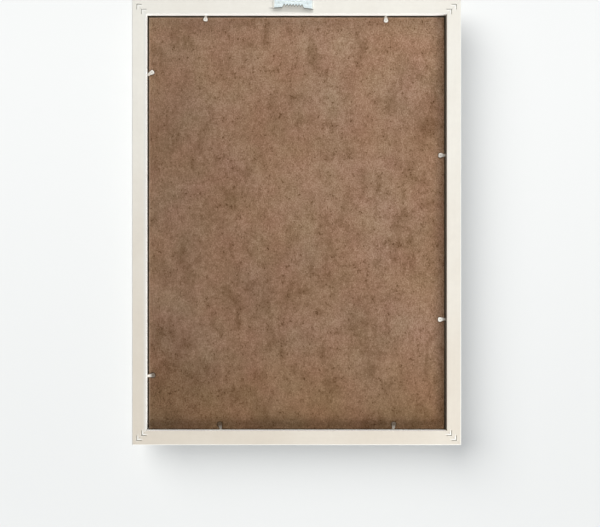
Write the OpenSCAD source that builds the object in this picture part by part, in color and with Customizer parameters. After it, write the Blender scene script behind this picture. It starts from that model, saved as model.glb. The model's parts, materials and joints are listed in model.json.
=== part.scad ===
// Picture frame with an open back. Four mitred rails hold the glass, a blank insert and a
// hardboard back. Eight steel tabs lie over the back, and each bends up to free it.
// Up is +Z. The picture faces -Y and the wall side faces +Y. Left is -X, as seen from the front.
// The origin is the hanging point: behind the hanger's middle notch, on the rails' back plane.

/* [Sheets] */
// Width of the glass, the insert and the backing board
sheet_w = 330; // [240:1:420]
// Height of the glass, the insert and the backing board
sheet_h = 460; // [340:1:560]
// Thickness of the glass
glass_t = 2; // [1.5:0.1:3]
// Thickness of the blank insert
insert_t = 0.3; // [0.1:0.05:0.6]
// Thickness of the backing board
board_t = 3; // [2:0.1:4]
// Gap between the sheets and the rail on each side of them
side_play = 1.7; // [0.5:0.1:2.5]
// Gap above the sheets
top_play = 1.8; // [0.5:0.1:2.5]
// Gap below the sheets
bottom_play = 0.6; // [0.3:0.1:1.5]

/* [Rails] */
// Depth of a rail, from its back face to its front face
rail_depth = 18; // [16:0.5:26]
// Width of a rail's back face, from the outer edge to the rebate
rail_back_w = 16; // [14:0.5:26]
// Distance that the lip reaches inwards from the rebate wall
lip_reach = 6; // [4:0.5:8]
// Thickness of the lip in front of the glass
lip_t = 4.5; // [3.5:0.5:6]
// Radius along the outer front edge
front_round = 2; // [1:0.5:3]
// Radius along the two back edges
back_round = 0.9; // [0.4:0.1:1.5]
// Width and depth of the bevel along the sight edge
sight_bevel = 2; // [1:0.5:3]

/* [Corner nails] */
// Length of each leg of a V-shaped corner nail
nail_leg = 5.8; // [4:0.2:6]
// Thickness of a corner nail's steel
nail_t = 0.5; // [0.3:0.1:0.8]
// Length of a corner nail along the way it is driven
nail_depth = 8; // [5:0.5:10]
// Depth of a driven nail's head below the back face
nail_sink = 0.3; // [0.1:0.1:0.8]
// Distance of the outer nail's point from both outer edges
outer_nail_inset = 5; // [4:0.2:6]
// Distance of the inner nail's point from both outer edges
inner_nail_inset = 10.4; // [9:0.2:12]

/* [Hanger] */
// Width of the hanger over its feet
hanger_w = 44.4; // [36:0.2:60]
// Height of the hanger's plate at its shoulders
hanger_h = 8.4; // [7.6:0.1:10]
// Thickness of the hanger's steel
hanger_t = 0.8; // [0.5:0.1:1]
// Height of the plate's outer face above the rail
hanger_rise = 2.4; // [2:0.1:3.5]
// Run of each bent end, from the plate out to its foot
hanger_end_run = 1.3; // [0.6:0.1:2]
// Droop of the plate's lower edge, from the shoulders to the feet
hanger_droop = 1; // [0.2:0.1:1.5]
// Distance of the hanger's upper edge from the frame's top edge
hanger_inset = 0.9; // [0.8:0.1:3]
// Distance of the hanger's middle from the frame's middle
hanger_offset = 3.8; // [0:0.1:8]
// Slant at which the hanger was put on, in degrees
hanger_tilt = 1.8; // [0:0.1:2]
// Number of notches that a nail head can catch
notch_count = 7; // [3:2:9]
// Distance from one notch to the next
notch_pitch = 3.3; // [2.4:0.1:3.6]
// Depth of a notch
notch_depth = 2.2; // [1:0.1:2.4]
// Height of the tooth tips above the plate's lower edge
tooth_rise = 1.7; // [0.5:0.1:2]
// Slant of the plate's edge from the last notch down to the lower edge
shoulder_run = 2.3; // [1.5:0.1:3]
// Width of the pressed groove over the teeth
groove_w = 0.7; // [0.4:0.1:1]
// Depth of the pressed groove
groove_depth = 0.2; // [0.1:0.05:0.3]
// Distance of the groove's middle above the notches
groove_rise = 2.5; // [1.5:0.1:3]
// Width of a prong
prong_w = 2.2; // [1.5:0.1:2.4]
// Length of a prong in the wood
prong_len = 6; // [4:0.5:9]
// Distance between the middles of the two prongs at one end
prong_spread = 4.8; // [3.5:0.1:5]

/* [Tabs] */
// Thickness of a tab's steel
tab_t = 0.6; // [0.4:0.1:0.8]
// Full length of a tab, with the stem in the wood
tab_len = 16; // [14:0.5:20]
// Reach of the longest tab from the rebate wall
tab_reach = 8.8; // [8:0.1:11]
// Width of a tab's neck and stem
tab_neck_w = 2.8; // [2:0.1:3.2]
// Width of a tab's round head
tab_head_w = 5; // [4:0.1:5.6]
// Radius of the dimple in a head
dimple_r = 0.9; // [0.5:0.1:1.4]
// Depth of the dimple in a head
dimple_depth = 0.2; // [0.1:0.05:0.3]
// Height of a tab above the backing board
tab_lift = 0.15; // [0.1:0.05:0.3]
// Length of stem that shows in front of the rebate wall
stem_proud = 0.15; // [0.1:0.05:0.3]
// Gap between the stem and the blade's rounded root
bend_gap = 0.08; // [0.05:0.01:0.1]

/* [Hidden] */
$fn = 48;

// Length by which a cut runs past what it cuts
overrun = 1;

// Sides of the frame in turn, anticlockwise as seen from the front
BOTTOM = 0;
RIGHT = 1;
TOP = 2;
LEFT = 3;
side_turns = [0, -90, 180, 90];
rail_names = ["bottom_rail", "right_rail", "top_rail", "left_rail"];
corner_names = ["bottom_left", "bottom_right", "top_right", "top_left"];

// Tabs: name, side, place along the half side from its middle, tilt in degrees and share of the reach
tab_names = ["top_left", "top_right", "right_upper", "right_lower",
             "bottom_right", "bottom_left", "left_lower", "left_upper"];
tab_sides = [TOP, TOP, RIGHT, RIGHT, BOTTOM, BOTTOM, LEFT, LEFT];
tab_place_shares = [0.597, -0.608, 0.712, -0.741, 0.507, -0.648, 0.467, -0.324];
tab_tilts = [3, -5, 31, 8, 12, -4, 2, -2];
tab_reach_shares = [0.87, 0.72, 0.95, 0.97, 0.97, 0.96, 1, 0.94];
tab_neck_share = 0.35;
prong_straight_share = 0.45;

rebate_w = sheet_w + 2 * side_play;
rebate_h = sheet_h + top_play + bottom_play;
outer_w = rebate_w + 2 * rail_back_w;
outer_h = rebate_h + 2 * rail_back_w;
face_w = rail_back_w + lip_reach;

glass_y = lip_t - rail_depth;
insert_y = glass_y + glass_t;
board_y = insert_y + insert_t;
board_back_y = board_y + board_t;
tab_y = board_back_y + tab_lift + tab_t / 2;
tab_axis_gap = stem_proud + bend_gap + tab_t / 2;

hanger_low_z = -(tooth_rise + notch_depth);
frame_top_z = hanger_low_z + hanger_h + hanger_inset;
frame_x = -hanger_offset;
frame_z = frame_top_z - outer_h / 2;

// Length of a side, and the distance from it to the opposite side, in a w by h rectangle
function along(side, w, h) = side % 2 == 0 ? w : h;
function across(side, w, h) = side % 2 == 0 ? h : w;

// Reach of one tab from the rebate wall
function reach(i) = tab_reach * tab_reach_shares[i];

// Puts children on one side of a w by h rectangle: X runs along the side and Z runs inwards
module on_side(side, w, h) {
    translate([frame_x, 0, frame_z])
        rotate([0, side_turns[side], 0])
            translate([0, 0, -across(side, w, h) / 2])
                children();
}

// Takes the square corner at the origin down to a quarter circle
module corner_cut(r) {
    difference() {
        translate([-overrun, -overrun])
            square(r + overrun);
        translate([r, r])
            circle(r);
    }
}

// Rail section: X runs inwards from the outer edge and Y runs from front to back
module rail_section() {
    difference() {
        polygon([
            [0, 0],
            [0, -rail_depth],
            [face_w - sight_bevel, -rail_depth],
            [face_w, sight_bevel - rail_depth],
            [face_w, glass_y],
            [rail_back_w, glass_y],
            [rail_back_w, 0]
        ]);
        translate([0, -rail_depth])
            corner_cut(front_round);
        mirror([0, 1])
            corner_cut(back_round);
        translate([rail_back_w, 0])
            rotate(180)
                corner_cut(back_round);
    }
}

// Space between the two mitre cuts of a rail that is length long at its outer edge
module mitre_space(length) {
    outside = length / 2 + overrun;
    inside = length / 2 - face_w - overrun;
    translate([0, overrun, 0])
        rotate([90, 0, 0])
            linear_extrude(height = rail_depth + 2 * overrun)
                polygon([
                    [-outside, -overrun],
                    [outside, -overrun],
                    [inside, face_w + overrun],
                    [-inside, face_w + overrun]
                ]);
}

module rail(side) {
    length = along(side, outer_w, outer_h);
    color("ivory")
        difference() {
            on_side(side, outer_w, outer_h)
                intersection() {
                    rotate([0, -90, 0])
                        linear_extrude(height = length + 2 * overrun, center = true)
                            rail_section();
                    mitre_space(length);
                }
            nail_slots(side);
            nail_slots((side + 1) % len(side_turns));
            for (i = [0 : len(tab_sides) - 1])
                if (tab_sides[i] == side)
                    tab_stem_body(i, overrun);
            if (side == TOP)
                on_hanger()
                    prongs(overrun);
        }
}

module glazing_sheet() {
    color("lightcyan", 0.4)
        sheet(glass_y, glass_t);
}

module insert_sheet() {
    color("white")
        sheet(insert_y, insert_t);
}

module backing_board() {
    color([0.57, 0.46, 0.36])
        sheet(board_y, board_t);
}

// Flat sheet that rests low in the rebate, with its front face at y
module sheet(y, t) {
    translate([frame_x - sheet_w / 2, y, bottom_play + frame_z - rebate_h / 2])
        cube([sheet_w, t, sheet_h]);
}

// Outline of a V-shaped nail with its point at inset from both outer edges
module nail_outline(inset) {
    translate([inset, inset])
        difference() {
            square(nail_leg);
            translate([nail_t, nail_t])
                square(nail_leg);
        }
}

// Both nails of the corner at the start of a side, from top_y down to the driven depth
module nail_pair(side, top_y) {
    on_side(side, outer_w, outer_h)
        translate([-along(side, outer_w, outer_h) / 2, top_y, 0])
            rotate([90, 0, 0])
                for (inset = [outer_nail_inset, inner_nail_inset])
                    linear_extrude(height = top_y + nail_sink + nail_depth)
                        nail_outline(inset);
}

module nail_slots(side) {
    nail_pair(side, overrun);
}

module corner_nails(side) {
    color("dimgray")
        nail_pair(side, -nail_sink);
}

// Gives children the hanger's slant, about its middle notch
module on_hanger() {
    rotate([0, -hanger_tilt, 0])
        children();
}

// Bridge section between two heights, its sloped ends inset from those of the hanger
module bridge_outline(inset, low_y, high_y) {
    lean = hanger_end_run / hanger_rise;
    low_x = hanger_w / 2 - inset - low_y * lean;
    high_x = hanger_w / 2 - inset - high_y * lean;
    polygon([[-low_x, low_y], [low_x, low_y], [high_x, high_y], [-high_x, high_y]]);
}

// Lower edge as a cutting shape: X runs across and Y runs up, with the notches at zero
module lower_edge_outline() {
    last = (notch_count - 1) * notch_pitch / 2;
    mouth = last + shoulder_run;
    foot = hanger_w / 2;
    end_x = foot + overrun;
    end_z = hanger_low_z - hanger_droop * (end_x - mouth) / (foot - mouth);
    polygon(concat(
        [[mouth, hanger_low_z],
         [end_x, end_z],
         [end_x, end_z - overrun],
         [-end_x, end_z - overrun],
         [-end_x, end_z],
         [-mouth, hanger_low_z]],
        [for (i = [0 : 2 * (notch_count - 1)])
            [i * notch_pitch / 2 - last, i % 2 == 0 ? 0 : -notch_depth]]
    ));
}

// The four prongs, from top_y down to their points
module prongs(top_y) {
    outline = [
        [-prong_w / 2, top_y],
        [-prong_w / 2, -prong_len * prong_straight_share],
        [0, -prong_len],
        [prong_w / 2, -prong_len * prong_straight_share],
        [prong_w / 2, top_y]
    ];
    for (sx = [-1, 1], sz = [-1, 1])
        translate([
            sx * (hanger_w - hanger_t) / 2,
            0,
            hanger_low_z + (hanger_h + sz * prong_spread) / 2
        ])
            rotate([0, -90, 0])
                linear_extrude(height = hanger_t, center = true)
                    polygon(outline);
}

// Plate with both ends bent down to the rail, before its lower edge is cut
module hanger_bridge() {
    end_w = hanger_t / sin(atan2(hanger_rise, hanger_end_run));
    translate([0, 0, hanger_low_z - hanger_droop])
        linear_extrude(height = hanger_h + hanger_droop)
            difference() {
                bridge_outline(0, 0, hanger_rise);
                bridge_outline(end_w, -overrun, hanger_rise - hanger_t);
            }
}

module sawtooth_hanger() {
    groove_half = (notch_count - 1) * notch_pitch / 2;
    color("silver")
        on_hanger()
            difference() {
                union() {
                    hanger_bridge();
                    prongs(0);
                }
                translate([0, hanger_rise + overrun, 0])
                    rotate([90, 0, 0])
                        linear_extrude(height = hanger_rise + 2 * overrun)
                            lower_edge_outline();
                translate([-groove_half, hanger_rise - groove_depth, groove_rise - groove_w / 2])
                    cube([2 * groove_half, groove_depth + overrun, groove_w]);
            }
}

// Flat outline of a tab from the wall outwards: X is its width and Y its length
module tab_outline(length) {
    head_r = tab_head_w / 2;
    head_y = length - head_r;
    neck_y = head_y * tab_neck_share;
    polygon([
        [-tab_neck_w / 2, 0],
        [tab_neck_w / 2, 0],
        [tab_neck_w / 2, neck_y],
        [head_r, head_y],
        [-head_r, head_y],
        [-tab_neck_w / 2, neck_y]
    ]);
    translate([0, head_y])
        circle(head_r);
}

// Puts children at a tab's place: X along the wall, Z out of it and Y at the tab's middle
module at_tab(i) {
    side = tab_sides[i];
    on_side(side, rebate_w, rebate_h)
        translate([tab_place_shares[i] * along(side, rebate_w, rebate_h) / 2, tab_y, 0])
            children();
}

// Keeps what lies between low and high, measured out of the wall
module keep_between(low, high) {
    intersection() {
        children();
        translate([-tab_len, -tab_t, low])
            cube([2 * tab_len, 2 * tab_t, high - low]);
    }
}

// Straight stem in the wood, which ends at the given distance in front of the wall
module tab_stem_body(i, front) {
    root = tab_len - reach(i);
    at_tab(i)
        keep_between(-tab_len, front)
            rotate([0, tab_tilts[i], 0])
                translate([-tab_neck_w / 2, -tab_t / 2, -root])
                    cube([tab_neck_w, tab_t, root + 2 * tab_neck_w]);
}

module tab_stem(i) {
    color("darkgray")
        tab_stem_body(i, stem_proud);
}

module tab_blade(i) {
    tilt = tab_tilts[i];
    head_z = reach(i) - tab_head_w / 2;
    color("gainsboro")
        at_tab(i)
            difference() {
                union() {
                    keep_between(tab_axis_gap, tab_len)
                        rotate([0, tilt, 0])
                            rotate([90, 0, 0])
                                linear_extrude(height = tab_t, center = true)
                                    tab_outline(reach(i));
                    translate([tab_axis_gap * tan(tilt), 0, tab_axis_gap])
                        rotate([0, 90, 0])
                            cylinder(r = tab_t / 2, h = tab_neck_w / cos(tilt), center = true);
                }
                rotate([0, tilt, 0])
                    translate([0, tab_t / 2 - dimple_depth, head_z])
                        rotate([-90, 0, 0])
                            cylinder(r = dimple_r, h = dimple_depth + overrun);
            }
}

for (side = [0 : len(rail_names) - 1])
    rail(side);
glazing_sheet();
insert_sheet();
backing_board();
sawtooth_hanger();
for (side = [0 : len(corner_names) - 1])
    corner_nails(side);
for (i = [0 : len(tab_names) - 1])
    tab_stem(i);
for (i = [0 : len(tab_names) - 1])
    tab_blade(i);
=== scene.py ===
"""Looks of an open-backed picture frame: painted rails, hardboard, a sawtooth hanger and bend-up tabs.

Everything is in metres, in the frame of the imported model: +Z up, +Y out of the back, left is -X.
"""

import json
import math

import bpy
import numpy as np
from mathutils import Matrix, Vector


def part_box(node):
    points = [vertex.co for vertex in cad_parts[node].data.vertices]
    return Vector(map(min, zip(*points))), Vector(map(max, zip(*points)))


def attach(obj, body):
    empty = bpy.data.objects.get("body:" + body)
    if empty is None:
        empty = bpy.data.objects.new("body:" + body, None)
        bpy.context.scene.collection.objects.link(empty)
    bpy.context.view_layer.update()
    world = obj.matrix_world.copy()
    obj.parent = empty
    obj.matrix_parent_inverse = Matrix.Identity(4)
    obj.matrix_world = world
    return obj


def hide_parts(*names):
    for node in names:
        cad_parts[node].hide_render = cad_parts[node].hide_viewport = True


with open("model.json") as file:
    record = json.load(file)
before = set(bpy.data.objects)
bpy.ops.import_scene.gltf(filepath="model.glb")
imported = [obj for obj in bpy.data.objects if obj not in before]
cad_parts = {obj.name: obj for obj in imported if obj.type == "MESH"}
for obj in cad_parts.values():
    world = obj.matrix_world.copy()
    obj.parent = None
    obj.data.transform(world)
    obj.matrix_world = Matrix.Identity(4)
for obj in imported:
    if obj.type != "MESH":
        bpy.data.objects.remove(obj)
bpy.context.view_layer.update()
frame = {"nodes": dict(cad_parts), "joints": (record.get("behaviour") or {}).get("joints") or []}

MM = 0.001

# Rail section
RAIL_BACK_W = 16 * MM
FRONT_ROUND = 2 * MM
BACK_ROUND = 0.9 * MM
REBATE_ROUND = 0.45 * MM
SIGHT_BEVEL = 2 * MM
PAINT_FILLET = 0.3 * MM
SIGHT_FILLET = 2 * PAINT_FILLET
SEAM_GAP = 0.04 * MM
SEAM_ROUND = 0.15 * MM

# Distances from the inner back edge at which the paint begins to turn grey and is fully so, and heights
# about the board's back at which the painted shade in the gap begins and is full
EDGE_GREY_FROM, EDGE_GREY_FULL = 4 * MM, 1 * MM
GAP_SHADE_FROM, GAP_SHADE_FULL = 0.3 * MM, -0.6 * MM

# Steps between the points of a rail's mesh, round its section and along it
SIDE_STEP = 1.2 * MM
BACK_STEP = 0.13 * MM
WALL_STEP = 0.5 * MM
LIP_STEP = 0.8 * MM
FACE_STEP = 1.5 * MM
SEAM_END = 0.5 * MM
NAILED_STEP = 0.22 * MM
NAILED_END = 8 * MM
CORNER_STEP = 1.5 * MM
CORNER_END = 20 * MM

# Sheets: the air between two of them, the worn strip along the edge, and the lengths of the waves of the
# face and of the fraying of the edge
SHEET_AIR = 0.01 * MM
WORN_EDGE_W = 1.1 * MM
WARP_LENGTH = 250 * MM
FRAY_LENGTH = 20 * MM

# Depth of the unevenness of the finishes
PAINT_RELIEF = 0.06 * MM
FIBRE_RELIEF = 0.05 * MM
FINE_RELIEF = 0.02 * MM

# Corner nails, the slots they lie in, and the ridges of wood that they press up beside them
NAIL_INSETS = (5 * MM, 10.4 * MM)
NAIL_LEG = 5.8 * MM
NAIL_T = 0.5 * MM
SLOT_W = 0.75 * MM
SLOT_DEPTH = 0.5 * MM
RIDGE_HEIGHT = 0.17 * MM
RIDGE_PLACE = 1.2 * MM
RIDGE_W = 0.65 * MM
RIDGE_FADE = 0.65
RIDGE_END_BEFORE, RIDGE_END_PAST = 0.4 * MM, 0.8 * MM

# Sawtooth hanger
HANGER_W = 44.4 * MM
HANGER_H = 8.4 * MM
HANGER_T = 0.8 * MM
HANGER_RISE = 2.4 * MM
HANGER_BEND_R = 0.6 * MM
HANGER_END_RUN = 1.3 * MM
HANGER_DROOP = 1 * MM
HANGER_TILT = math.radians(1.8)
FOOT_SINK = 0.25 * MM
PLATE_ROUND = 0.16 * MM
NOTCH_COUNT = 7
NOTCH_PITCH = 3.3 * MM
NOTCH_DEPTH = 2.2 * MM
TOOTH_RISE = 1.7 * MM
SHOULDER_RUN = 2.3 * MM
TEETH_HALF = (NOTCH_COUNT - 1) * NOTCH_PITCH / 2
HANGER_TOP = HANGER_H - TOOTH_RISE - NOTCH_DEPTH
GROOVE_RISE = 2.5 * MM
GROOVE_W = 0.4 * MM
GROOVE_DEPTH = 0.14 * MM
GROOVE_FROM, GROOVE_FULL = 1 * MM, -2 * MM
WANDER_HEIGHT = 0.25 * MM
WANDER_LENGTH = 5 * MM
WANDER_SEED = 4
DENT_PLACES = (-15.8 * MM, 16.2 * MM)
DENT_RISE = 0.4 * MM
DENT_R = 1.3 * MM
DENT_DEPTH = 0.16 * MM
PRONG_W = 2.2 * MM
PRONG_LEN = 6 * MM
PRONG_SPREAD = 4.8 * MM
PRONG_TIP_W = 0.1 * MM
PRONG_ROOT = 0.3 * MM
PRONG_STRAIGHT_SHARE = 0.45

# Painted shadow under the hanger: a dark line along its teeth, a zone below that, and where both end
# beside the hanger
SHADOW_LINE_W = 0.6 * MM
SHADOW_LINE_DROP = 0.1 * MM
SHADOW_ZONE_TONE = 0.36
SHADOW_ZONE_FROM = 1 * MM
SHADOW_ZONE_FADE, SHADOW_ZONE_END = 4.0 * MM, 5.4 * MM
SHADOW_SIDE_PAST, SHADOW_SIDE_INSIDE = 1 * MM, 0.4 * MM

# Tabs, and the painted shadow that each casts on the board round its head
TAB_REACH = 8.8 * MM
TAB_T = 0.6 * MM
TAB_NECK_W = 2.5 * MM
TAB_HEAD_W = 4.9 * MM
TAB_NECK_SHARE = 0.35
TAB_AXIS_GAP = 0.53 * MM
DIMPLE_R = 0.9 * MM
DIMPLE_DEPTH = 0.2 * MM
TAB_SHADOW_R = 4.3 * MM
TAB_BOW = 0.1 * MM
TAB_TIP_DROP = 0.05 * MM
# How bright the painted reflection is on a tab's underside, and how much painted shade darkens its dimple
UNDER_REFLECTION = 0.45
DIMPLE_SHADE = 0.45

# For each tab: its tilt in degrees, its share of the full reach, and how bright the painted reflection
# is on its neck and on its head
TABS = {
    "top_left": (3, 0.87, 0.55, 0.95),
    "top_right": (-5, 0.72, 0.5, 0.92),
    "right_upper": (31, 0.95, 0.6, 0.76),
    "right_lower": (8, 0.97, 0.95, 0.1),
    "bottom_right": (12, 0.97, 0.22, 0.0),
    "bottom_left": (-4, 0.96, 0.38, 0.06),
    "left_lower": (2, 1, 0.34, 1.0),
    "left_upper": (-2, 0.94, 0.34, 0.62),
}

# Sides of the frame: the way along each and the way inwards, as (x, z)
SIDES = {
    "bottom": ((1, 0), (0, 1)),
    "right": ((0, 1), (-1, 0)),
    "top": ((-1, 0), (0, -1)),
    "left": ((0, -1), (1, 0)),
}


def node_box(node):
    """Lowest and highest corner of a CAD node, as arrays."""
    low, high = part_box(node)
    return np.array(low), np.array(high)


OUTER_LOW = node_box("bottom_rail")[0]
OUTER_HIGH = node_box("top_rail")[1]
CENTRE = (OUTER_LOW + OUTER_HIGH) / 2
OUTER_SIZE = OUTER_HIGH - OUTER_LOW
RAIL_DEPTH = OUTER_SIZE[1]
FACE_W = np.ptp(node_box("bottom_rail"), axis=0)[2]
GLASS_Y = node_box("glazing_sheet")[0][1]
BOARD_LOW, BOARD_HIGH = node_box("backing_board")

# Painted light and shade of the board, which grow towards an edge: the axis and the edge, how far from it
# each begins and is full, and how much paler or darker it makes the tone
BOARD_SHADES = {
    "painted light at the head": ("z", BOARD_HIGH[2], -110 * MM, 0, 0.1),
    "painted shade at the foot": ("z", BOARD_LOW[2], 110 * MM, 0, -0.14),
    "painted shade on the lower half": ("z", BOARD_LOW[2], 300 * MM, 0, -0.13),
    "painted shade on the high-x side": ("x", BOARD_HIGH[0], -130 * MM, 0, -0.17),
    "painted shade at the high-x rim": ("x", BOARD_HIGH[0], -12 * MM, -3 * MM, -0.05),
    "painted light on the low-x side": ("x", BOARD_LOW[0], 120 * MM, 20 * MM, 0.055),
    "painted shade by the low-x wall": ("x", BOARD_LOW[0], 14 * MM, 6 * MM, -0.08),
    "painted light at the low-x edge": ("x", BOARD_LOW[0], 7 * MM, 0, 0.23),
}
# How far up from the foot the board turns yellower
WARM_FOOT_H = 110 * MM


def smooth(low, high, x):
    """Step from 0 at low to 1 at high, along 3t^2 - 2t^3 of the share t between them."""
    t = np.clip((x - low) / (high - low), 0, 1)
    return t * t * (3 - 2 * t)


def bell(x, width):
    """Bell curve of height 1: e to the power of minus the square of x over width."""
    return np.exp(-((x / width) ** 2))


def ripple(a, b, wavelength, seed, waves=7):
    """Even, seeded unevenness between about -1 and 1: a sum of sines of a and b in random directions."""
    draw = np.random.default_rng(seed)
    total = 0
    for _ in range(waves):
        turn, phase = draw.uniform(0, 2 * np.pi, 2)
        k = 2 * np.pi / (wavelength * draw.uniform(0.7, 1.6))
        total = total + np.sin(k * (a * np.cos(turn) + b * np.sin(turn)) + phase)
    return total / math.sqrt(waves)


def on_side(side, along, depth, inward):
    """Points of the frame from their place along a side, depth and distance inwards from its outer edge."""
    way, inwards = SIDES[side]
    half = OUTER_SIZE[2] / 2 if way[0] else OUTER_SIZE[0] / 2
    x = CENTRE[0] + along * way[0] + (inward - half) * inwards[0]
    z = CENTRE[2] + along * way[1] + (inward - half) * inwards[1]
    return np.stack(np.broadcast_arrays(x, depth, z), axis=-1)


def grid_faces(rows, columns, ring=False, start=0):
    """Quads between neighbouring points of a grid; ring joins the last column to the first."""
    index = start + np.arange(rows * columns).reshape(rows, columns)
    if ring:
        index = np.hstack([index, index[:, :1]])
    corners = (index[:-1, :-1], index[:-1, 1:], index[1:, 1:], index[1:, :-1])
    return np.stack(corners, axis=-1).reshape(-1, 4)


def tube(rings):
    """A closed solid from rings of points, rows by columns: quads between them and a cap on each end."""
    rows, columns = rings.shape[:2]
    faces = grid_faces(rows, columns, ring=True).tolist()
    faces.append(list(range(columns))[::-1])
    faces.append(list(range((rows - 1) * columns, rows * columns)))
    return rings.reshape(-1, 3), faces


def joined(parts):
    """One list of points and one of faces from several solids."""
    points, faces, count = [], [], 0
    for part_points, part_faces in parts:
        points.append(part_points)
        faces += [[i + count for i in face] for face in part_faces]
        count += len(part_points)
    return np.vstack(points), faces


def piece(name, solid, finish, body, nodes, marks=None, sharp_angle=32):
    """A mesh object from a solid, its faces turned outwards, that rides on a body and replaces CAD nodes."""
    points, faces = solid
    mesh = bpy.data.meshes.new(name)
    mesh.from_pydata(points.tolist(), [], faces)
    mesh.polygons.foreach_set("use_smooth", np.ones(len(mesh.polygons), bool))
    mesh.calc_loop_triangles()
    corners = np.empty(len(mesh.loop_triangles) * 3, np.int32)
    mesh.loop_triangles.foreach_get("vertices", corners)
    a, b, c = (points - points.mean(0))[corners.reshape(-1, 3)].transpose(1, 0, 2)
    if np.einsum("ij,ij->", a, np.cross(b, c)) < 0:
        mesh.flip_normals()
    for mark, values in (marks or {}).items():
        mesh.attributes.new(mark, "FLOAT", "POINT").data.foreach_set("value", values.ravel())
    mesh.set_sharp_from_angle(angle=math.radians(sharp_angle))
    mesh.materials.append(finish)
    made = bpy.data.objects.new(name, mesh)
    bpy.context.scene.collection.objects.link(made)
    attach(made, body)
    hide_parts(*nodes)
    return made


class Signal:
    """The value that a shader socket gives. Arithmetic on it adds Math nodes to its graph."""

    def __init__(self, graph, socket):
        self.graph = graph
        self.socket = socket

    def math(self, operation, first, second):
        return self.graph.node("ShaderNodeMath", {"operation": operation}, {0: first, 1: second})

    def __add__(self, other):
        return self.math("ADD", self, other)

    def __sub__(self, other):
        return self.math("SUBTRACT", self, other)

    def __rsub__(self, other):
        return self.math("SUBTRACT", other, self)

    def __mul__(self, other):
        return self.math("MULTIPLY", self, other)

    def highest(self, other):
        return self.math("MAXIMUM", self, other)

    __radd__ = __add__
    __rmul__ = __mul__


class Graph:
    """The nodes of a material or of the world."""

    def __init__(self, owner):
        owner.use_nodes = True
        self.nodes = owner.node_tree.nodes
        self.links = owner.node_tree.links

    def node(self, kind, settings=None, sockets=None, out=0):
        """Adds a node: its settings first, then the value or link of each socket. Gives one output."""
        made = self.nodes.new(kind)
        for setting, value in (settings or {}).items():
            if setting == "stops":
                self.set_stops(made.color_ramp, value)
            else:
                setattr(made, setting, value)
        for socket, value in (sockets or {}).items():
            if isinstance(value, Signal):
                self.links.new(value.socket, made.inputs[socket])
            else:
                made.inputs[socket].default_value = value
        return Signal(self, made.outputs[out])

    def set_stops(self, ramp, stops):
        while len(ramp.elements) < len(stops):
            ramp.elements.new(1)
        for element, (position, colour) in zip(ramp.elements, stops):
            element.position = position
            element.color = (*colour, 1)


class Finish(Graph):
    """A node material whose Principled shader takes constants by keyword and varying inputs by feed()."""

    def __init__(self, name, **constants):
        self.material = bpy.data.materials.new(name)
        super().__init__(self.material)
        self.shader = self.nodes["Principled BSDF"]
        self.principled = Signal(self, self.shader.outputs[0])
        for socket, value in constants.items():
            self.shader.inputs[socket.replace("_", " ")].default_value = value
        self.place = self.node("ShaderNodeTexCoord", out="Object")

    def feed(self, **inputs):
        for socket, value in inputs.items():
            self.links.new(value.socket, self.shader.inputs[socket.replace("_", " ")])
        return self.material

    def surface(self, shader):
        """Shows a mix of shaders in place of the Principled one alone."""
        self.links.new(shader.socket, self.nodes["Material Output"].inputs["Surface"])
        return self.material

    def stretched(self, factors):
        """Object coordinates times a factor on each axis."""
        sockets = {"Vector": self.place, "Scale": factors}
        return self.node("ShaderNodeMapping", {"vector_type": "POINT"}, sockets)

    def axis(self, name):
        """One object coordinate, x, y or z, in metres."""
        return self.node("ShaderNodeSeparateXYZ", None, {"Vector": self.place}, out=name.upper())

    def distance_to(self, point):
        """Distance of the surface from a point, in metres."""
        ends = {0: self.place, 1: point}
        return self.node("ShaderNodeVectorMath", {"operation": "DISTANCE"}, ends, out="Value")

    def noise(self, scale, detail=2.0, roughness=0.5, at=None, distortion=0.0):
        """Soft noise between 0 and 1, about 0.5, with this many cells to a metre."""
        return self.node("ShaderNodeTexNoise", None, {
            "Vector": at or self.place, "Scale": scale, "Detail": detail,
            "Roughness": roughness, "Distortion": distortion,
        })

    def between(self, low, high, value, out_low=0.0, out_high=1.0):
        """Smooth step of a value from out_low at low to out_high at high."""
        return self.node("ShaderNodeMapRange", {"interpolation_type": "SMOOTHSTEP"}, {
            "Value": value, "From Min": low, "From Max": high, "To Min": out_low, "To Max": out_high,
        })

    def blend(self, share, first, second, way="MIX"):
        """Colour between two colours, or the first with the second laid on it in the given way."""
        colours = [(*c, 1) if isinstance(c, tuple) else c for c in (first, second)]
        return self.node("ShaderNodeMix", {"data_type": "RGBA", "blend_type": way},
                         {0: share, 6: colours[0], 7: colours[1]}, out=2)

    def grey(self, value):
        """Grey colour of a value, to multiply a colour by."""
        return self.node("ShaderNodeCombineColor", None, {0: value, 1: value, 2: value})

    def mark(self, name):
        """A mark that the piece's points carry."""
        return self.node("ShaderNodeAttribute", {"attribute_name": name}, out="Fac")

    def relief(self, height, distance):
        """Normal of a surface raised by a height, times a distance in metres."""
        return self.node("ShaderNodeBump", None, {"Height": height, "Distance": distance}, out="Normal")


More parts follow.
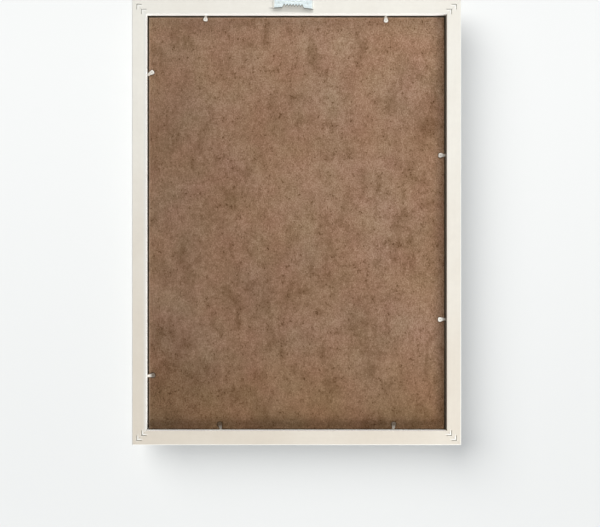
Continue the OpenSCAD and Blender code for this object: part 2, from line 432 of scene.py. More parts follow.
def paint_finish(name, grain):
    """Off-white satin paint on wood: dirtier and darker towards the back and the foot, partly as painted
    shade. Painted highlights turn walls, nail ridges and an outer edge white; edges turn grey, which on the
    outer ones is painted shade; a painted shadow lies under the hanger; and painted shade is dark brown in
    the gap below the board and on one inner wall."""
    f = Finish(name, IOR=1.45, Specular_IOR_Level=0.3)
    streaks = f.noise(1.0, 3.0, 0.55, at=f.stretched(grain))
    clouds = f.noise(14.0, 3.0, 0.55)
    mottle = f.noise(160.0, 3.0, 0.6)
    height = f.between(OUTER_LOW[2], OUTER_HIGH[2], f.axis("z"))
    across = f.between(OUTER_LOW[0], OUTER_HIGH[0], f.axis("x"))
    back = f.between(OUTER_LOW[1], OUTER_HIGH[1], f.axis("y"), 0.4, 1.0)
    # Dirt together with painted shade: darker towards the foot, most at its high-x end, and towards the back
    dirt_and_shade = (across * 0.2 + 0.52 - height * (across * 0.2 + 0.66) + clouds * 0.7) * back
    fresh_tone, dirty_shaded_tone = (0.885, 0.862, 0.792), (0.715, 0.65, 0.555)
    edge_grey_tone, highlight_tone, recess_shade_tone = (0.80, 0.805, 0.77), (0.98, 0.972, 0.935), (0.16, 0.12, 0.08)
    dirty_and_shaded = f.blend(f.between(0.0, 1.2, dirt_and_shade), fresh_tone, dirty_shaded_tone)
    tone = streaks * 0.06 + mottle * 0.08 + 0.93
    # The painted shadow of the hanger darkens the paint
    face = f.blend(1.0, dirty_and_shaded, f.grey(tone - f.mark("grime") * 0.65), "MULTIPLY")
    # Grey edges: on the outer edges this is painted shade, which dims them where the lamps catch the round
    worn = f.blend(f.mark("rubbed"), face, edge_grey_tone)
    # Painted highlights turn walls, nail ridges and an outer edge near white
    painted = f.blend(f.between(0.0, 1.0, f.mark("clean")), worn, highlight_tone)
    return f.feed(
        # Painted shade: dark brown in the gap below the board and on one inner wall
        Base_Color=f.blend(f.mark("bare"), painted, recess_shade_tone),
        Roughness=mottle * 0.2 + 0.38,
        Normal=f.relief(streaks * 0.6 + mottle * 0.4, PAINT_RELIEF),
    )


def tab_lie(name):
    """A tab's tilt, the point of its hinge, its directions ahead and aside, and its length from there."""
    tilt, reach_share = math.radians(TABS[name][0]), TABS[name][1]
    joint = next(j for j in frame["joints"] if j["name"] == f"tab_bend_{name}")
    way, inwards = (np.array((v[0], 0, v[1])) for v in SIDES[name.split("_")[0]])
    ahead = math.cos(tilt) * inwards + math.sin(tilt) * way
    aside = math.cos(tilt) * way - math.sin(tilt) * inwards
    length = TAB_REACH * reach_share - TAB_AXIS_GAP / math.cos(tilt)
    return tilt, np.array(joint["pos_m"]), ahead, aside, length


def head_place(name):
    """The point of the board behind the middle of a tab's head."""
    tilt, root, ahead, aside, length = tab_lie(name)
    x, _, z = root + ahead * (length - TAB_HEAD_W / 2)
    return x, BOARD_HIGH[1], z


def hardboard_finish():
    """Bare brown fibreboard: fibres, dark specks in clusters and slow blotches of tone and hue. It is
    yellower towards the foot, has a painted shadow round each tab's head and painted light and shade
    towards its edges, and its worn rim is paler."""
    f = Finish("unpainted hardboard", IOR=1.4, Specular_IOR_Level=0.15)
    upright = f.stretched((1, 1, 0.78))
    fine = f.noise(740.0, 1.0, 0.7, at=upright)
    small = f.noise(320.0, 2.0, 0.65, at=upright)
    medium = f.noise(118.0, 2.0, 0.5, at=upright)
    large = f.noise(38.0, 2.0, 0.5, at=upright)
    slow = f.noise(8.0, 2.0, 0.5)
    specks = f.between(0.40, 0.27, f.noise(440.0, 1.0, 0.5, at=upright)) * f.between(0.62, 0.35, medium)
    clouds = f.between(0.52, 0.3, f.noise(62.0, 4.0, 0.62, at=f.stretched((1, 1, 0.6)), distortion=0.4))
    clouds = clouds * f.between(0.3, 0.6, f.noise(14.0, 1.0, 0.5), 0.25, 1.0)
    fibres = fine * 0.57 + small * 0.34 + medium * 0.18
    tone = fibres + large * 0.16 + slow * 0.24 - specks * 0.27 - clouds * 0.135
    brown = f.node("ShaderNodeValToRGB", {"stops": [
        (0.22, (0.061, 0.021, 0.005)),
        (0.40, (0.181, 0.098, 0.051)),
        (0.50, (0.279, 0.165, 0.100)),
        (0.60, (0.402, 0.258, 0.171)),
        (0.72, (0.578, 0.397, 0.283)),
    ]}, {"Fac": (tone - 0.72) * 0.56 + 0.5})
    olive = f.blend(f.noise(34.0, 1.0, 0.5), (1.05, 0.96, 1.02), (0.95, 1.04, 0.98))
    warm = f.blend(f.noise(15.0, 1.0, 0.5), (1.05, 1.0, 0.93), (0.95, 1.0, 1.07))
    tinted = f.blend(1.0, f.blend(1.0, brown, olive, "MULTIPLY"), warm, "MULTIPLY")
    # Painted shadow on the board round each tab's head
    tab_shadow = sum(f.between(TAB_SHADOW_R, TAB_HEAD_W / 2, f.distance_to(head_place(name))) for name in TABS)
    # Painted light and shade that grow towards the board's edges, as BOARD_SHADES lists them
    shade = 1.0 - tab_shadow * 0.4 + sum(
        f.between(edge + begins, edge + full, f.axis(axis), 0.0, change)
        for axis, edge, begins, full, change in BOARD_SHADES.values()
    )
    shaded = f.blend(1.0, tinted, f.grey(shade), "MULTIPLY")
    # Yellower towards the foot
    foot_warmth = f.between(BOARD_LOW[2] + WARM_FOOT_H, BOARD_LOW[2], f.axis("z"), 0.0, 0.98)
    warmed = f.blend(foot_warmth, shaded, (1.02, 0.98, 0.84), "MULTIPLY")
    edged = f.blend(f.mark("edge") * 0.35, warmed, (0.42, 0.32, 0.24))
    return f.feed(Base_Color=edged, Roughness=small * 0.2 + 0.55, Normal=f.relief(tone, FIBRE_RELIEF))


def zinc_finish():
    """Bright zinc plate: cool white metal with cloudy patches and fine drawn lines. Painted shade darkens
    its groove, its dents and its cut edges, and a painted reflection of the paint beside them tints its
    slanted ends."""
    f = Finish("zinc plate", Metallic=1.0)
    clouds = f.noise(420.0, 3.0, 0.6)
    lines = f.noise(1.0, 2.0, 0.5, at=f.stretched((90, 900, 2600)))
    tone = f.grey(clouds * 0.34 + lines * 0.1 + 0.7)
    bright = f.blend(1.0, f.blend(clouds, (0.70, 0.81, 0.85), (0.86, 0.90, 0.90)), tone, "MULTIPLY")
    # Painted shade in the groove, the dents and along the cut edges
    zinc_shaded = f.blend(f.mark("dull"), bright, (0.36, 0.38, 0.35))
    # Painted reflection of the paint beside the slanted ends
    colour = f.blend(f.mark("cream"), zinc_shaded, (1.0, 0.985, 0.94))
    return f.feed(
        Base_Color=colour,
        Roughness=clouds * 0.25 + 0.3,
        Normal=f.relief(lines + clouds, FINE_RELIEF),
    )


def tab_finish():
    """Tin-grey strip steel whose colour runs from dark to bright with the painted reflection that its mark
    carries, with fine scratches.
    """
    f = Finish("tab steel", Metallic=0.9)
    scratches = f.noise(1.0, 3.0, 0.6, at=f.stretched((2600, 900, 2600)))
    clouds = f.noise(700.0, 3.0, 0.6)
    # Painted reflection: the mark sets how bright the steel shows
    colour = f.blend(f.mark("shine"), (0.11, 0.075, 0.048), (0.98, 0.93, 0.86))
    tone = f.grey(scratches * 0.2 + clouds * 0.2 + 0.8)
    return f.feed(
        Base_Color=f.blend(1.0, colour, tone, "MULTIPLY"),
        Roughness=clouds * 0.25 + 0.28,
        Normal=f.relief(scratches, FINE_RELIEF),
    )


def plain_steel_finish(name, colour, metallic):
    """Strip steel whose colour wanders a little from place to place."""
    f = Finish(name, Metallic=metallic)
    clouds = f.noise(600.0, 3.0, 0.6)
    tone = f.grey(clouds * 0.4 + 0.8)
    return f.feed(Base_Color=f.blend(1.0, colour, tone, "MULTIPLY"), Roughness=clouds * 0.3 + 0.4)


def glass_finish():
    """Clear float glass with a breath of green: light passes through, and its outside mirrors by Fresnel."""
    f = Finish("clear glass", Metallic=1.0, Base_Color=(1, 1, 1, 1))
    clouds = f.noise(6.0, 2.0, 0.5)
    f.feed(Roughness=clouds * 0.03)
    clear = f.node("ShaderNodeBsdfTransparent", None, {"Color": (0.985, 0.993, 0.989, 1)})
    outside = 1.0 - f.node("ShaderNodeNewGeometry", out="Backfacing")
    share = f.node("ShaderNodeFresnel", None, {"IOR": 1.5}) * outside
    return f.surface(f.node("ShaderNodeMixShader", None, {0: share, 1: clear, 2: f.principled}))


def paper_finish():
    """Blank white card with a faint tooth."""
    f = Finish("blank card", IOR=1.4, Specular_IOR_Level=0.2)
    tooth = f.noise(1500.0, 3.0, 0.6)
    clouds = f.noise(20.0, 3.0, 0.5)
    colour = f.blend(clouds, (0.86, 0.855, 0.83), (0.89, 0.885, 0.865))
    tone = f.grey(tooth * 0.05 + 0.97)
    return f.feed(
        Base_Color=f.blend(1.0, colour, tone, "MULTIPLY"),
        Roughness=tooth * 0.2 + 0.7,
        Normal=f.relief(tooth, FINE_RELIEF),
    )


def rounded_outline(corners, radii, steps, arc_points=7):
    """Closed outline through corners. Each corner turns on a circular arc of its radius, as the rational
    quadratic curve whose middle weight is the cosine of half the turn, and the straight run after it is cut
    into equal steps."""
    corners, radii = np.array(corners), np.array(radii)
    out = np.roll(corners, -1, 0) - corners
    out /= np.linalg.norm(out, axis=1, keepdims=True)
    into = np.roll(out, 1, 0)
    half_turn = np.arccos(np.clip((into * out).sum(1), -1, 1)) / 2
    reach = (radii * np.tan(half_turn))[:, None]
    starts, ends = corners - into * reach, corners + out * reach
    s = np.linspace(0, 1, arc_points)[:, None]
    runs = []
    for i, corner in enumerate(corners):
        weight = 2 * s * (1 - s) * np.cos(half_turn[i])
        arc = (1 - s) ** 2 * starts[i] + weight * corner + s**2 * ends[i]
        runs.append(arc / ((1 - s) ** 2 + weight + s**2))
        ahead = starts[(i + 1) % len(corners)] - ends[i]
        count = max(1, math.ceil(np.linalg.norm(ahead) / steps[i]))
        runs.append(ends[i] + ahead * np.linspace(0, 1, count + 1)[1:-1, None])
    return np.vstack(runs)


def outline_normals(outline):
    """Unit normals on the left of a closed outline, square to the line between each point's neighbours."""
    ahead = np.roll(outline, -1, 0) - np.roll(outline, 1, 0)
    left = np.stack([-ahead[:, 1], ahead[:, 0]], axis=1)
    return left / np.linalg.norm(left, axis=1, keepdims=True)


def nail_relief(u, a):
    """Height of the back face round the nails, and how far it is pressed up there, from the distance u
    inwards and the distance a from the mitre: a slot along each leg, a bell-shaped ridge inside it and a
    lower one outside."""
    height, pressed = 0 * u * a, 0 * u * a
    for inset in NAIL_INSETS:
        off = u - inset - NAIL_T / 2
        beside = 1 - smooth(NAIL_LEG - RIDGE_END_BEFORE, NAIL_LEG + RIDGE_END_PAST, a)
        beside = beside * (1 - RIDGE_FADE * smooth(0, NAIL_LEG, a))
        ridge = bell(off - RIDGE_PLACE, RIDGE_W) + 0.4 * bell(off + 0.75 * RIDGE_PLACE, 0.6 * RIDGE_W)
        ridge = ridge * beside
        slot = (np.abs(off) < SLOT_W / 2) & (a < NAIL_LEG)
        height = np.where(slot, -SLOT_DEPTH, height + RIDGE_HEIGHT * ridge)
        pressed = np.where(slot, 0, pressed + ridge)
    return height, pressed


def tooth_edge(x):
    """Lower edge of the hanger at x: a triangle wave with its notches at zero, a slanted shoulder at each
    end of the row, and beyond it a straight edge that droops towards the foot."""
    from_notch = np.abs((x + TEETH_HALF + NOTCH_PITCH / 2) % NOTCH_PITCH - NOTCH_PITCH / 2)
    teeth = -from_notch / (NOTCH_PITCH / 2) * NOTCH_DEPTH
    base = -(TOOTH_RISE + NOTCH_DEPTH)
    past = np.abs(x) - TEETH_HALF
    droop = HANGER_DROOP * (past - SHOULDER_RUN) / (HANGER_W / 2 - TEETH_HALF - SHOULDER_RUN)
    beyond = np.where(past < SHOULDER_RUN, base * past / SHOULDER_RUN, base - droop)
    return np.where(past <= 0, teeth, beyond)


def hanger_painted_shadow(x, z):
    """Painted shadow of the hanger on the paint under it: a dark line that follows its toothed edge, and an
    even zone from there down to a few millimetres below its straight edge."""
    along = x * math.cos(HANGER_TILT) + z * math.sin(HANGER_TILT)
    up = z * math.cos(HANGER_TILT) - x * math.sin(HANGER_TILT)
    below = tooth_edge(along) - up
    past_edge = -(TOOTH_RISE + NOTCH_DEPTH) - up
    line = bell(below + SHADOW_LINE_DROP, SHADOW_LINE_W)
    zone = smooth(-SHADOW_ZONE_FROM, 0, below) * (1 - smooth(SHADOW_ZONE_FADE, SHADOW_ZONE_END, past_edge))
    reach = smooth(HANGER_W / 2 + SHADOW_SIDE_PAST, HANGER_W / 2 - SHADOW_SIDE_INSIDE, np.abs(along))
    return np.clip(line + SHADOW_ZONE_TONE * zone, 0, 1) * reach


def rail_section():
    """Outline of a rail's section, as distance inwards and depth, and its unit normals."""
    # Each corner's place, its radius, and the steps of the run after it
    corners = [
        ((0, -RAIL_DEPTH), FRONT_ROUND, SIDE_STEP),
        ((0, 0), BACK_ROUND, BACK_STEP),
        ((RAIL_BACK_W, 0), REBATE_ROUND, WALL_STEP),
        ((RAIL_BACK_W, GLASS_Y), PAINT_FILLET, FACE_STEP),
        ((FACE_W, GLASS_Y), PAINT_FILLET, LIP_STEP),
        ((FACE_W, SIGHT_BEVEL - RAIL_DEPTH), SIGHT_FILLET, LIP_STEP),
        ((FACE_W - SIGHT_BEVEL, -RAIL_DEPTH), SIGHT_FILLET, FACE_STEP),
    ]
    outline = rounded_outline(*zip(*corners))
    return outline, outline_normals(outline)


def rail_stations(side, half):
    """Distances of a rail's sections from the mitre: along the seam's quarter circle, close together past
    the nails, and close together again behind the hanger."""
    hanger_start = half - 1.2 * HANGER_W / 2
    return np.concatenate([
        SEAM_GAP + SEAM_ROUND * (1 - np.cos(np.linspace(0, np.pi / 2, 5))),
        np.arange(SEAM_END, NAILED_END, NAILED_STEP),
        np.arange(NAILED_END, CORNER_END, CORNER_STEP),
        np.linspace(CORNER_END, hanger_start, 20),
        np.linspace(hanger_start, half, 100 if side == "top" else 6)[1:],
    ])


def rail_marks(section, normals, pressed, painted_light_shade_and_grey):
    """Marks of painted highlight, of grey edges that are painted shade on the outer ones, and of painted
    shade in the gap below the board and on a wall, from a rail's section, how far it is pressed up, and
    how strong each mark is.
    """
    wall_highlight, wall_shade, inner_grey, outer_shade, outer_highlight = painted_light_shade_and_grey
    # Walls and edges are told apart by how far their normals point inwards and to the back
    (u, y), (inward, back) = section.T, normals.T
    inner_wall = (inward > 0.35) & (y > BOARD_LOW[1]) & (u > RAIL_BACK_W / 2)
    inner_edge = smooth(RAIL_BACK_W - EDGE_GREY_FROM, RAIL_BACK_W - EDGE_GREY_FULL, u) * (back > 0.3)
    outer_edge = (inward < -0.2) & (back > 0.1)
    in_rebate = (u > RAIL_BACK_W - PAINT_FILLET) & (y > GLASS_Y - PAINT_FILLET)
    below_board = smooth(GAP_SHADE_FROM, GAP_SHADE_FULL, y - BOARD_HIGH[1])
    # Grey edges; on the outer edges this is painted shade
    rubbed = outer_shade * outer_edge + inner_grey * inner_edge
    # Painted shade in the gap below the board's back and on one inner wall
    bare = np.maximum(below_board * in_rebate, wall_shade * inner_wall)
    return {
        # Painted highlights on the nail ridges, the inner walls and one outer edge
        "clean": np.clip(pressed * 1.25 + inner_wall * wall_highlight + outer_edge * outer_highlight, 0, 1),
        "rubbed": np.broadcast_to(rubbed, pressed.shape),
        "bare": np.broadcast_to(bare, pressed.shape),
    }


def rail_solid(side, painted_light_shade_and_grey):
    """A rail: its section carried along the side, each station at a fixed share t of the half length between
    the mitres, so that a point u inwards lies at t times (half length - u). Close to the mitre the section
    shrinks along its normals on a quarter circle, which rounds the edges of the seam."""
    section, normals = rail_section()
    half = (OUTER_SIZE[0] if SIDES[side][0][0] else OUTER_SIZE[2]) / 2
    near = rail_stations(side, half)
    from_mitre = np.concatenate([near, near[-2::-1]])[:, None]
    t = 1 - from_mitre / half
    t[len(near):] *= -1
    into_round = np.clip(from_mitre - SEAM_GAP, 0, SEAM_ROUND)
    shrink = SEAM_ROUND - np.sqrt(SEAM_ROUND**2 - (SEAM_ROUND - into_round) ** 2)
    u, y = section.T
    height, pressed = nail_relief(u[None, :], (1 - np.abs(t)) * (half - u))
    back_face = normals[:, 1] > 0.999
    rings = on_side(
        side,
        t * (half - u),
        y - normals[:, 1] * shrink + height * back_face,
        u - normals[:, 0] * shrink,
    )
    marks = rail_marks(section, normals, pressed * back_face, painted_light_shade_and_grey)
    # Painted shadow of the hanger on the back face
    marks["grime"] = hanger_painted_shadow(rings[..., 0], rings[..., 2]) * back_face
    return tube(rings), marks


def slab_solid(node, edge_round, step, wave, seed):
    """A sheet: one grid for each face, rolled over the edge on a quarter circle, and a strip that joins the
    two. A ripple lifts the back face and another one roughens the outline. The faces keep a hair of air to
    the next sheet."""
    low, high = node_box(node)
    middle = (low + high) / 2
    half = (high - low) / 2 - np.array((0, SHEET_AIR, 0))
    roll = np.linspace(0, np.pi / 2, 5)

    def run(half_length):
        """Places along half a side, from the middle outwards, and how far the face has dropped there."""
        inside = np.linspace(0, half_length - 2.2 * WORN_EDGE_W, math.ceil(half_length / step))
        flat = np.concatenate([inside, half_length - WORN_EDGE_W * np.array([1.6, 0.9])])
        place = np.concatenate([flat, half_length - edge_round + edge_round * np.sin(roll)])
        drop = np.concatenate([0 * flat, edge_round * (1 - np.cos(roll))])
        return np.concatenate([-place[:0:-1], place]), np.concatenate([drop[:0:-1], drop])

    (x, x_drop), (z, z_drop) = run(half[0]), run(half[2])
    x, z = np.meshgrid(x, z, indexing="ij")
    drop = np.maximum(x_drop[:, None], z_drop[None, :])
    lift = wave * ripple(x, z, WARP_LENGTH, seed)
    fray = 1 + wave * ripple(x, z, FRAY_LENGTH, seed + 1) / half[0] - 2.5 * wave / half[0]
    near_edge = np.minimum(half[0] - x, half[2] - z)
    edge = np.tile(smooth(1.5 * WORN_EDGE_W, 0.5 * WORN_EDGE_W, near_edge).ravel(), 2)
    points = []
    for way in (1, -1):
        y = middle[1] + way * (half[1] - drop) + max(way, 0) * lift * (1 - drop / edge_round)
        points.append(np.stack([middle[0] + x * fray, y, middle[2] + z * fray], axis=-1))
    rows, columns = x.shape
    count = rows * columns
    index = np.arange(count).reshape(rows, columns)
    rim = np.concatenate([index[:, 0], index[-1, 1:], index[-2::-1, -1], index[0, -2:0:-1]])
    ahead = np.roll(rim, -1)
    faces = np.vstack([
        grid_faces(rows, columns),
        grid_faces(rows, columns, start=count)[:, ::-1],
        np.stack([rim, ahead, ahead + count, rim + count], axis=1),
    ])
    return (np.vstack([p.reshape(-1, 3) for p in points]), faces.tolist()), {"edge": edge}


def hanger_path():
    """Middle line of the hanger's strip from end to end: its x, its height y, and the angle at which it
    falls away. It is flat up to the bends, turns on an arc and slants down to just below the rail's back."""
    mid_r = HANGER_BEND_R + HANGER_T / 2
    top_y = HANGER_RISE - HANGER_T / 2
    slope = math.atan2(HANGER_RISE, HANGER_END_RUN)
    foot_x = HANGER_W / 2 - HANGER_T / 2 / math.sin(slope)
    bend_x = foot_x - top_y / math.tan(slope) - mid_r * math.tan(slope / 2)
    bend_end = bend_x + mid_r * math.sin(slope)
    fall = top_y - mid_r * (1 - math.cos(slope))
    flat = np.concatenate([
        np.linspace(0, TEETH_HALF, 6 * (NOTCH_COUNT - 1) + 1),
        TEETH_HALF + SHOULDER_RUN * np.linspace(0.25, 1, 4),
        np.linspace(TEETH_HALF + SHOULDER_RUN, bend_x, 28)[1:],
    ])
    bend = np.linspace(0, slope, 9)[1:]
    drop = np.linspace(0, fall + FOOT_SINK, 9)[1:]
    x = np.concatenate([flat, bend_x + mid_r * np.sin(bend), bend_end + drop / math.tan(slope)])
    y = np.concatenate([0 * flat + top_y, top_y - mid_r * (1 - np.cos(bend)), fall - drop])
    turn = np.concatenate([0 * flat, bend, 0 * drop + slope])
    return [np.concatenate([way * half[:0:-1], half]) for way, half in ((-1, x), (1, y), (-1, turn))]


def plate_section():
    """Section of the hanger's strip, a flat bar with rounded corners. Point by point round it: the share of
    the strip's height, the distance added to that, and the place across the thickness."""
    share = np.linspace(0, 1, 30)
    corner = np.linspace(0, np.pi / 2, 4)[:-1]
    inset = PLATE_ROUND * (1 - np.cos(corner))
    height_share = np.concatenate([share, 1 + 0 * corner, share[::-1], 0 * corner])
    height_off = np.concatenate([
        PLATE_ROUND * (1 - 2 * share),
        PLATE_ROUND * (np.sin(corner) - 1),
        PLATE_ROUND * (2 * share - 1),
        PLATE_ROUND * (1 - np.sin(corner)),
    ])
    across = np.concatenate([
        HANGER_T / 2 + 0 * share,
        HANGER_T / 2 - inset,
        -HANGER_T / 2 + 0 * share,
        inset - HANGER_T / 2,
    ])
    return height_share, height_off, across


def hanger_strip():
    """The hanger's strip and its marks: its section carried along its path, between the toothed edge and the
    upper one. A wandering groove and two round dents are pressed into its outer face."""
    x, y, turn = (values[:, None] for values in hanger_path())
    height_share, height_off, across = plate_section()
    low = tooth_edge(x)
    z = low + (HANGER_TOP - low) * height_share + height_off
    outer = across > 0.99 * HANGER_T / 2
    edge = np.abs(across) < 0.95 * HANGER_T / 2
    wander = GROOVE_RISE + WANDER_HEIGHT * ripple(x, 0, WANDER_LENGTH, WANDER_SEED)
    in_teeth = smooth(TEETH_HALF + GROOVE_FROM, TEETH_HALF + GROOVE_FULL, np.abs(x))
    groove = bell(z - wander, GROOVE_W) * in_teeth
    dents = sum(bell(np.hypot(x - place, z - DENT_RISE), DENT_R) for place in DENT_PLACES)
    lift = across - (GROOVE_DEPTH * groove + DENT_DEPTH * dents) * outer
    marks = {
        # Painted shade in the groove, the dents and along the cut edges
        "dull": np.maximum((0.5 * groove + 0.35 * dents) * outer, 0.6 * edge),
        # Painted reflection of the paint beside the slanted ends
        "cream": (smooth(0.3, 0.8, turn) + 0.4 * smooth(-0.3, -0.8, turn)) * outer,
    }
    return tube(np.stack([x + lift * np.sin(turn), y + lift * np.cos(turn), z], axis=-1)), marks


def hanger_prongs():
    """The four prongs under the hanger's ends: square bars that run straight and then narrow to a tip."""
    square = np.array([(-1, -1), (-1, 1), (1, 1), (1, -1)]) / 2
    depth = np.array([PRONG_ROOT, -PRONG_STRAIGHT_SHARE * PRONG_LEN, -PRONG_LEN])
    width = np.array([PRONG_W, PRONG_W, PRONG_TIP_W])
    prongs = []
    for x_way in (-1, 1):
        for z_way in (-1, 1):
            x_mid = x_way * (HANGER_W - HANGER_T) / 2
            z_mid = (HANGER_TOP - TOOTH_RISE - NOTCH_DEPTH + z_way * PRONG_SPREAD) / 2
            rings = np.stack(np.broadcast_arrays(
                x_mid + square[:, 0] * HANGER_T,
                depth[:, None],
                z_mid + square[:, 1] * width[:, None],
            ), axis=-1)
            prongs.append(tube(rings))
    return prongs


def hanger_solid():
    """The hanger: its strip and its four prongs, turned by the tilt that it was driven in at."""
    strip, marks = hanger_strip()
    points, faces = joined([strip, *hanger_prongs()])
    cos, sin = math.cos(HANGER_TILT), math.sin(HANGER_TILT)
    x, y, z = points.T
    turned = np.stack([x * cos - z * sin, y, x * sin + z * cos], axis=1)
    prong_marks = np.zeros(len(points) - len(strip[0]))
    marks = {name: np.concatenate([mark.ravel(), prong_marks]) for name, mark in marks.items()}
    return (turned, faces), marks


def tab_solid(name):
    """A tab's blade: a flat bar with rounded edges carried out from the hinge. Its half width is that of the
    neck, then widens evenly to the head, whose end is a rounded square. The bar is sheared near its root, so
    that the root lies along the wall. It bows up a little, and a round dimple is pressed into the head."""
    tilt, root, ahead, aside, length = tab_lie(name)
    neck_reflection, head_reflection = TABS[name][2:]
    head_r = TAB_HEAD_W / 2
    head_l = length - head_r
    neck_l = TAB_NECK_SHARE * head_l
    station = np.concatenate([
        TAB_T / 2 * np.sin(np.linspace(-1.45, 0, 6)),
        np.linspace(0, head_l, 26)[1:],
        head_l + head_r * np.sin(np.linspace(0, 1.52, 26)[1:]),
    ])[:, None]
    past = np.clip((station - head_l) / head_r, 0, 1)
    flare = np.clip((station - 0.5 * neck_l) / (1.1 * head_l - 0.5 * neck_l), 0, 1)
    half_w = (TAB_NECK_W + (TAB_HEAD_W - TAB_NECK_W) * flare) / 2 * (1 - past**3) ** (1 / 3)
    before_root = np.clip(-station, 0, None) / (TAB_T / 2)
    thin = np.sqrt(np.clip(1 - before_root**2, 0.01, 1)) * (1 - 0.5 * past**12)
    angle = np.linspace(0, 2 * np.pi, 49)[:-1]
    side_share = np.sign(np.cos(angle)) * np.abs(np.cos(angle)) ** 0.35
    rise = np.sign(np.sin(angle)) * np.abs(np.sin(angle)) ** 0.5
    across = half_w * side_share
    along = station + across * math.tan(tilt) * (1 - smooth(0, neck_l, station))
    from_head = np.hypot(across, along - head_l)
    dimple = (1 - smooth(0.35 * DIMPLE_R, 1.15 * DIMPLE_R, from_head)) * (rise > 0.3)
    bow = TAB_BOW * np.sin(np.clip(along / length, 0, 1) * np.pi) - TAB_TIP_DROP * smooth(0, length, along)
    up = TAB_T / 2 * thin * rise - DIMPLE_DEPTH * dimple + bow
    rings = root + across[..., None] * aside + along[..., None] * ahead + up[..., None] * np.array((0, 1, 0))
    # Painted reflection along the blade, darker in the dimple, middling on the underside
    shine = neck_reflection + (head_reflection - neck_reflection) * smooth(neck_l * 0.6, head_l, along)
    under = smooth(0, -0.5, rise)
    return tube(rings), {"shine": shine * (1 - DIMPLE_SHADE * dimple) * (1 - under) + UNDER_REFLECTION * under}


LEVEL_GRAIN = (14, 420, 420)
UPRIGHT_GRAIN = (420, 420, 14)
level_paint = paint_finish("off-white paint on the level rails", LEVEL_GRAIN)
upright_paint = paint_finish("off-white paint on the upright rails", UPRIGHT_GRAIN)

# For each rail: how strong the painted highlight and the painted shade on its inner wall are, how grey its
# inner back edge turns, and how strong the painted shade and the painted highlight on its outer edge are
PAINTED_LIGHT_SHADE_AND_GREY = {
    "top": (1.0, 0.0, 0.2, 0.3, 0.0),
    "left": (0.0, 0.5, 0.0, 0.9, 0.0),
    "bottom": (1.0, 0.0, 0.0, 0.8, 0.0),
    "right": (1.0, 0.0, 0.6, 0.3, 0.8),
}
for side, painted_light_shade_and_grey in PAINTED_LIGHT_SHADE_AND_GREY.items():
    rail, marks = rail_solid(side, painted_light_shade_and_grey)
    paint = level_paint if SIDES[side][0][0] else upright_paint
    piece(f"painted_{side}_rail", rail, paint, "frame", [f"{side}_rail"], marks)

# For each sheet: its node, the round of its edge, the step of its mesh, the height of its waves, the seed of
# its unevenness, its finish and its slot
SHEETS = {
    "hardboard_back": ("backing_board", 0.35 * MM, 6 * MM, 0.05 * MM, 11, hardboard_finish(), "hardboard"),
    "blank_card": ("insert_sheet", 0.08 * MM, 12 * MM, 0, 21, paper_finish(), "paper"),
    "glass_pane": ("glazing_sheet", 0.3 * MM, 40 * MM, 0, 31, glass_finish(), "glass"),
}
for sheet_name, (node_name, edge_round, step, wave, seed, finish, slot) in SHEETS.items():
    sheet, sheet_marks = slab_solid(node_name, edge_round, step, wave, seed)
    piece(sheet_name, sheet, finish, "frame", [node_name], sheet_marks)

hanger, hanger_marks = hanger_solid()
piece("toothed_hanger", hanger, zinc_finish(), "frame", ["sawtooth_hanger"], hanger_marks)

tab_steel = tab_finish()
for tab_name in TABS:
    blade, blade_marks = tab_solid(tab_name)
    piece(f"tab_{tab_name}_blade", blade, tab_steel, f"tab_{tab_name}", [f"tab_blade_{tab_name}"],
          blade_marks)

# The stems and the nails keep the CAD nodes' own meshes
stem_steel = plain_steel_finish("tab stem steel", (0.5, 0.49, 0.46), 0.9)
nail_steel = plain_steel_finish("painted-over nail steel", (0.33, 0.32, 0.27), 0.1)
for node_name, node_object in frame["nodes"].items():
    if node_name.startswith("tab_stem") or node_name.startswith("corner_nails"):
        node_object.data.materials.clear()
        node_object.data.materials.append(stem_steel if node_name.startswith("tab_stem") else nail_steel)

# Stage: the backdrop's distance from the frame, half its width and its colour, how far below the frame its
# glow begins to brighten, and how far below the frame the floor lies
BACKDROP_GAP = 0.025
BACKDROP_HALF = 3.0
BACKDROP_SHADE = (0.4, 0.4, 0.388, 1)
GLOW_DROP = 0.1
FLOOR_DROP = 1.9


def stage_sheet(name, corners, finish):
    """A flat four-cornered sheet of the stage."""
    mesh = bpy.data.meshes.new(name)
    mesh.from_pydata(corners, [], [(0, 1, 2, 3)])
    mesh.materials.append(finish)
    sheet = bpy.data.objects.new(name, mesh)
    bpy.context.scene.collection.objects.link(sheet)
    return sheet


def backdrop_finish():
    """Pale card that glows with painted light, brighter towards the top, keeps shadows, and lets light and
    sight through from behind.
    """
    f = Finish("pale backdrop", Roughness=1.0, Specular_IOR_Level=0.0, Base_Color=BACKDROP_SHADE)
    height = f.between(OUTER_LOW[2] - GLOW_DROP, OUTER_HIGH[2], f.axis("z"))
    # Painted light: the glow brightens from below the frame's foot towards its top
    tone = f.blend(height, (0.26, 0.275, 0.291), (0.338, 0.352, 0.365))
    glow = f.node("ShaderNodeEmission", None, {"Color": tone})
    lit = f.node("ShaderNodeAddShader", None, {0: f.principled, 1: glow})
    clear = f.node("ShaderNodeBsdfTransparent")
    behind = f.node("ShaderNodeNewGeometry", out="Backfacing")
    return f.surface(f.node("ShaderNodeMixShader", None, {0: behind, 1: lit, 2: clear}))


def floor_finish():
    """Pale floor, lit like the rest, with an even glow added."""
    f = Finish("pale floor", Roughness=1.0, Specular_IOR_Level=0.0, Base_Color=(0.5, 0.5, 0.5, 1))
    glow = f.node("ShaderNodeEmission", None, {"Color": (0.2, 0.205, 0.203, 1)})
    return f.surface(f.node("ShaderNodeAddShader", None, {0: f.principled, 1: glow}))


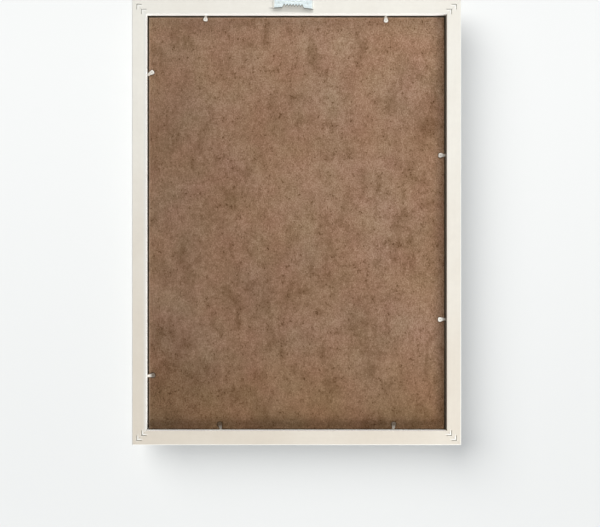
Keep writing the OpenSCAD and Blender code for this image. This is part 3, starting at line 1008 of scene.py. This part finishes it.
backdrop_y = OUTER_LOW[1] - BACKDROP_GAP
floor_z = OUTER_LOW[2] - FLOOR_DROP
backdrop = stage_sheet(
    "backdrop",
    [(CENTRE[0] + x * BACKDROP_HALF, backdrop_y, z)
     for x, z in ((-1, floor_z), (-1, BACKDROP_HALF), (1, BACKDROP_HALF), (1, floor_z))],
    backdrop_finish(),
)
backdrop.visible_shadow = False
backdrop.visible_diffuse = False
floor = stage_sheet(
    "floor",
    [(x * BACKDROP_HALF, y * BACKDROP_HALF, floor_z) for x, y in ((-1, -1), (1, -1), (1, 1), (-1, 1))],
    floor_finish(),
)


def lamp(name, kind, offset, size, share, lit=None):
    """A soft lamp that shines from an offset towards the frame's centre: a square of this size, or a sun of
    this angle. Its power is such that a face parallel to the wall shows this share of its colour."""
    offset = Vector(offset)
    light = bpy.data.lights.new(name, kind)
    slant = offset.length / abs(offset.y)
    if kind == "SUN":
        light.angle = size
        light.energy = share * math.pi * slant
    else:
        light.size = size
        light.energy = share * 4 * math.pi * offset.length**2 * slant
    made = bpy.data.objects.new(name, light)
    made.location = Vector(CENTRE) + offset
    made.rotation_euler = (-offset).to_track_quat("-Z", "Y").to_euler()
    bpy.context.scene.collection.objects.link(made)
    if lit is not None:
        chosen = bpy.data.collections.new(name + " lights these")
        for thing in lit:
            chosen.objects.link(thing)
        made.light_linking.receiver_collection = chosen


# The backdrop lamp lights the stage alone and casts the frame's shadow on it. The next two light the frame
# alone, and the front lamp lights everything
stage_parts = [backdrop, floor]
object_parts = [o for o in bpy.context.scene.objects if o.type == "MESH" and o not in stage_parts]
lamp("backdrop lamp", "SUN", (3.5, 4.7, 3.4), math.radians(52), 1.1, lit=stage_parts)
lamp("high lamp", "AREA", (-0.5, 0.85, 1.9), 1.2, 0.195, lit=object_parts)
lamp("low side lamp", "AREA", (-1.15, 0.9, -1.65), 0.85, 0.3, lit=object_parts)
lamp("front lamp", "AREA", (0.8, -3.6, 0.6), 2.6, 0.48)

# World: how strongly it lights, and the tone in which it is seen
WORLD_LIGHT = 0.335
WORLD_SEEN = (0.91, 0.93, 0.922, 1)


def studio_world():
    """An even white world at a plain level, which eyes, mirrors and glass see in a pale tone."""
    world = bpy.data.worlds.new("studio")
    graph = Graph(world)
    camera_ray, glossy_ray, passing_ray = (
        graph.node("ShaderNodeLightPath", out=f"Is {kind} Ray")
        for kind in ("Camera", "Glossy", "Transmission")
    )
    seen = camera_ray.highest(glossy_ray).highest(passing_ray)
    lighting = graph.node("ShaderNodeBackground", None, {"Color": (1, 1, 1, 1), "Strength": WORLD_LIGHT})
    shown = graph.node("ShaderNodeBackground", None, {"Color": WORLD_SEEN})
    choice = graph.node("ShaderNodeMixShader", None, {0: seen, 1: lighting, 2: shown})
    graph.links.new(choice.socket, graph.nodes["World Output"].inputs["Surface"])
    return world


bpy.context.scene.world = studio_world()

# Camera: its place behind the frame, the width of its sensor in millimetres, and the width that its picture
# shows at the rails' back
CAMERA_DISTANCE = 1.15
CAMERA_X = -7.6 * MM
CAMERA_Z = -287.5 * MM
SENSOR = 36.0
VIEW_WIDTH = 665.6 * MM
camera = bpy.data.cameras.new("camera")
camera.sensor_width = SENSOR
camera.lens = SENSOR * CAMERA_DISTANCE / VIEW_WIDTH
viewer = bpy.data.objects.new("camera", camera)
viewer.location = (CAMERA_X, CAMERA_DISTANCE, CAMERA_Z)
viewer.rotation_euler = (math.pi / 2, 0, math.pi)
bpy.context.scene.collection.objects.link(viewer)
bpy.context.scene.camera = viewer
bpy.context.scene.view_settings.view_transform = "Standard"
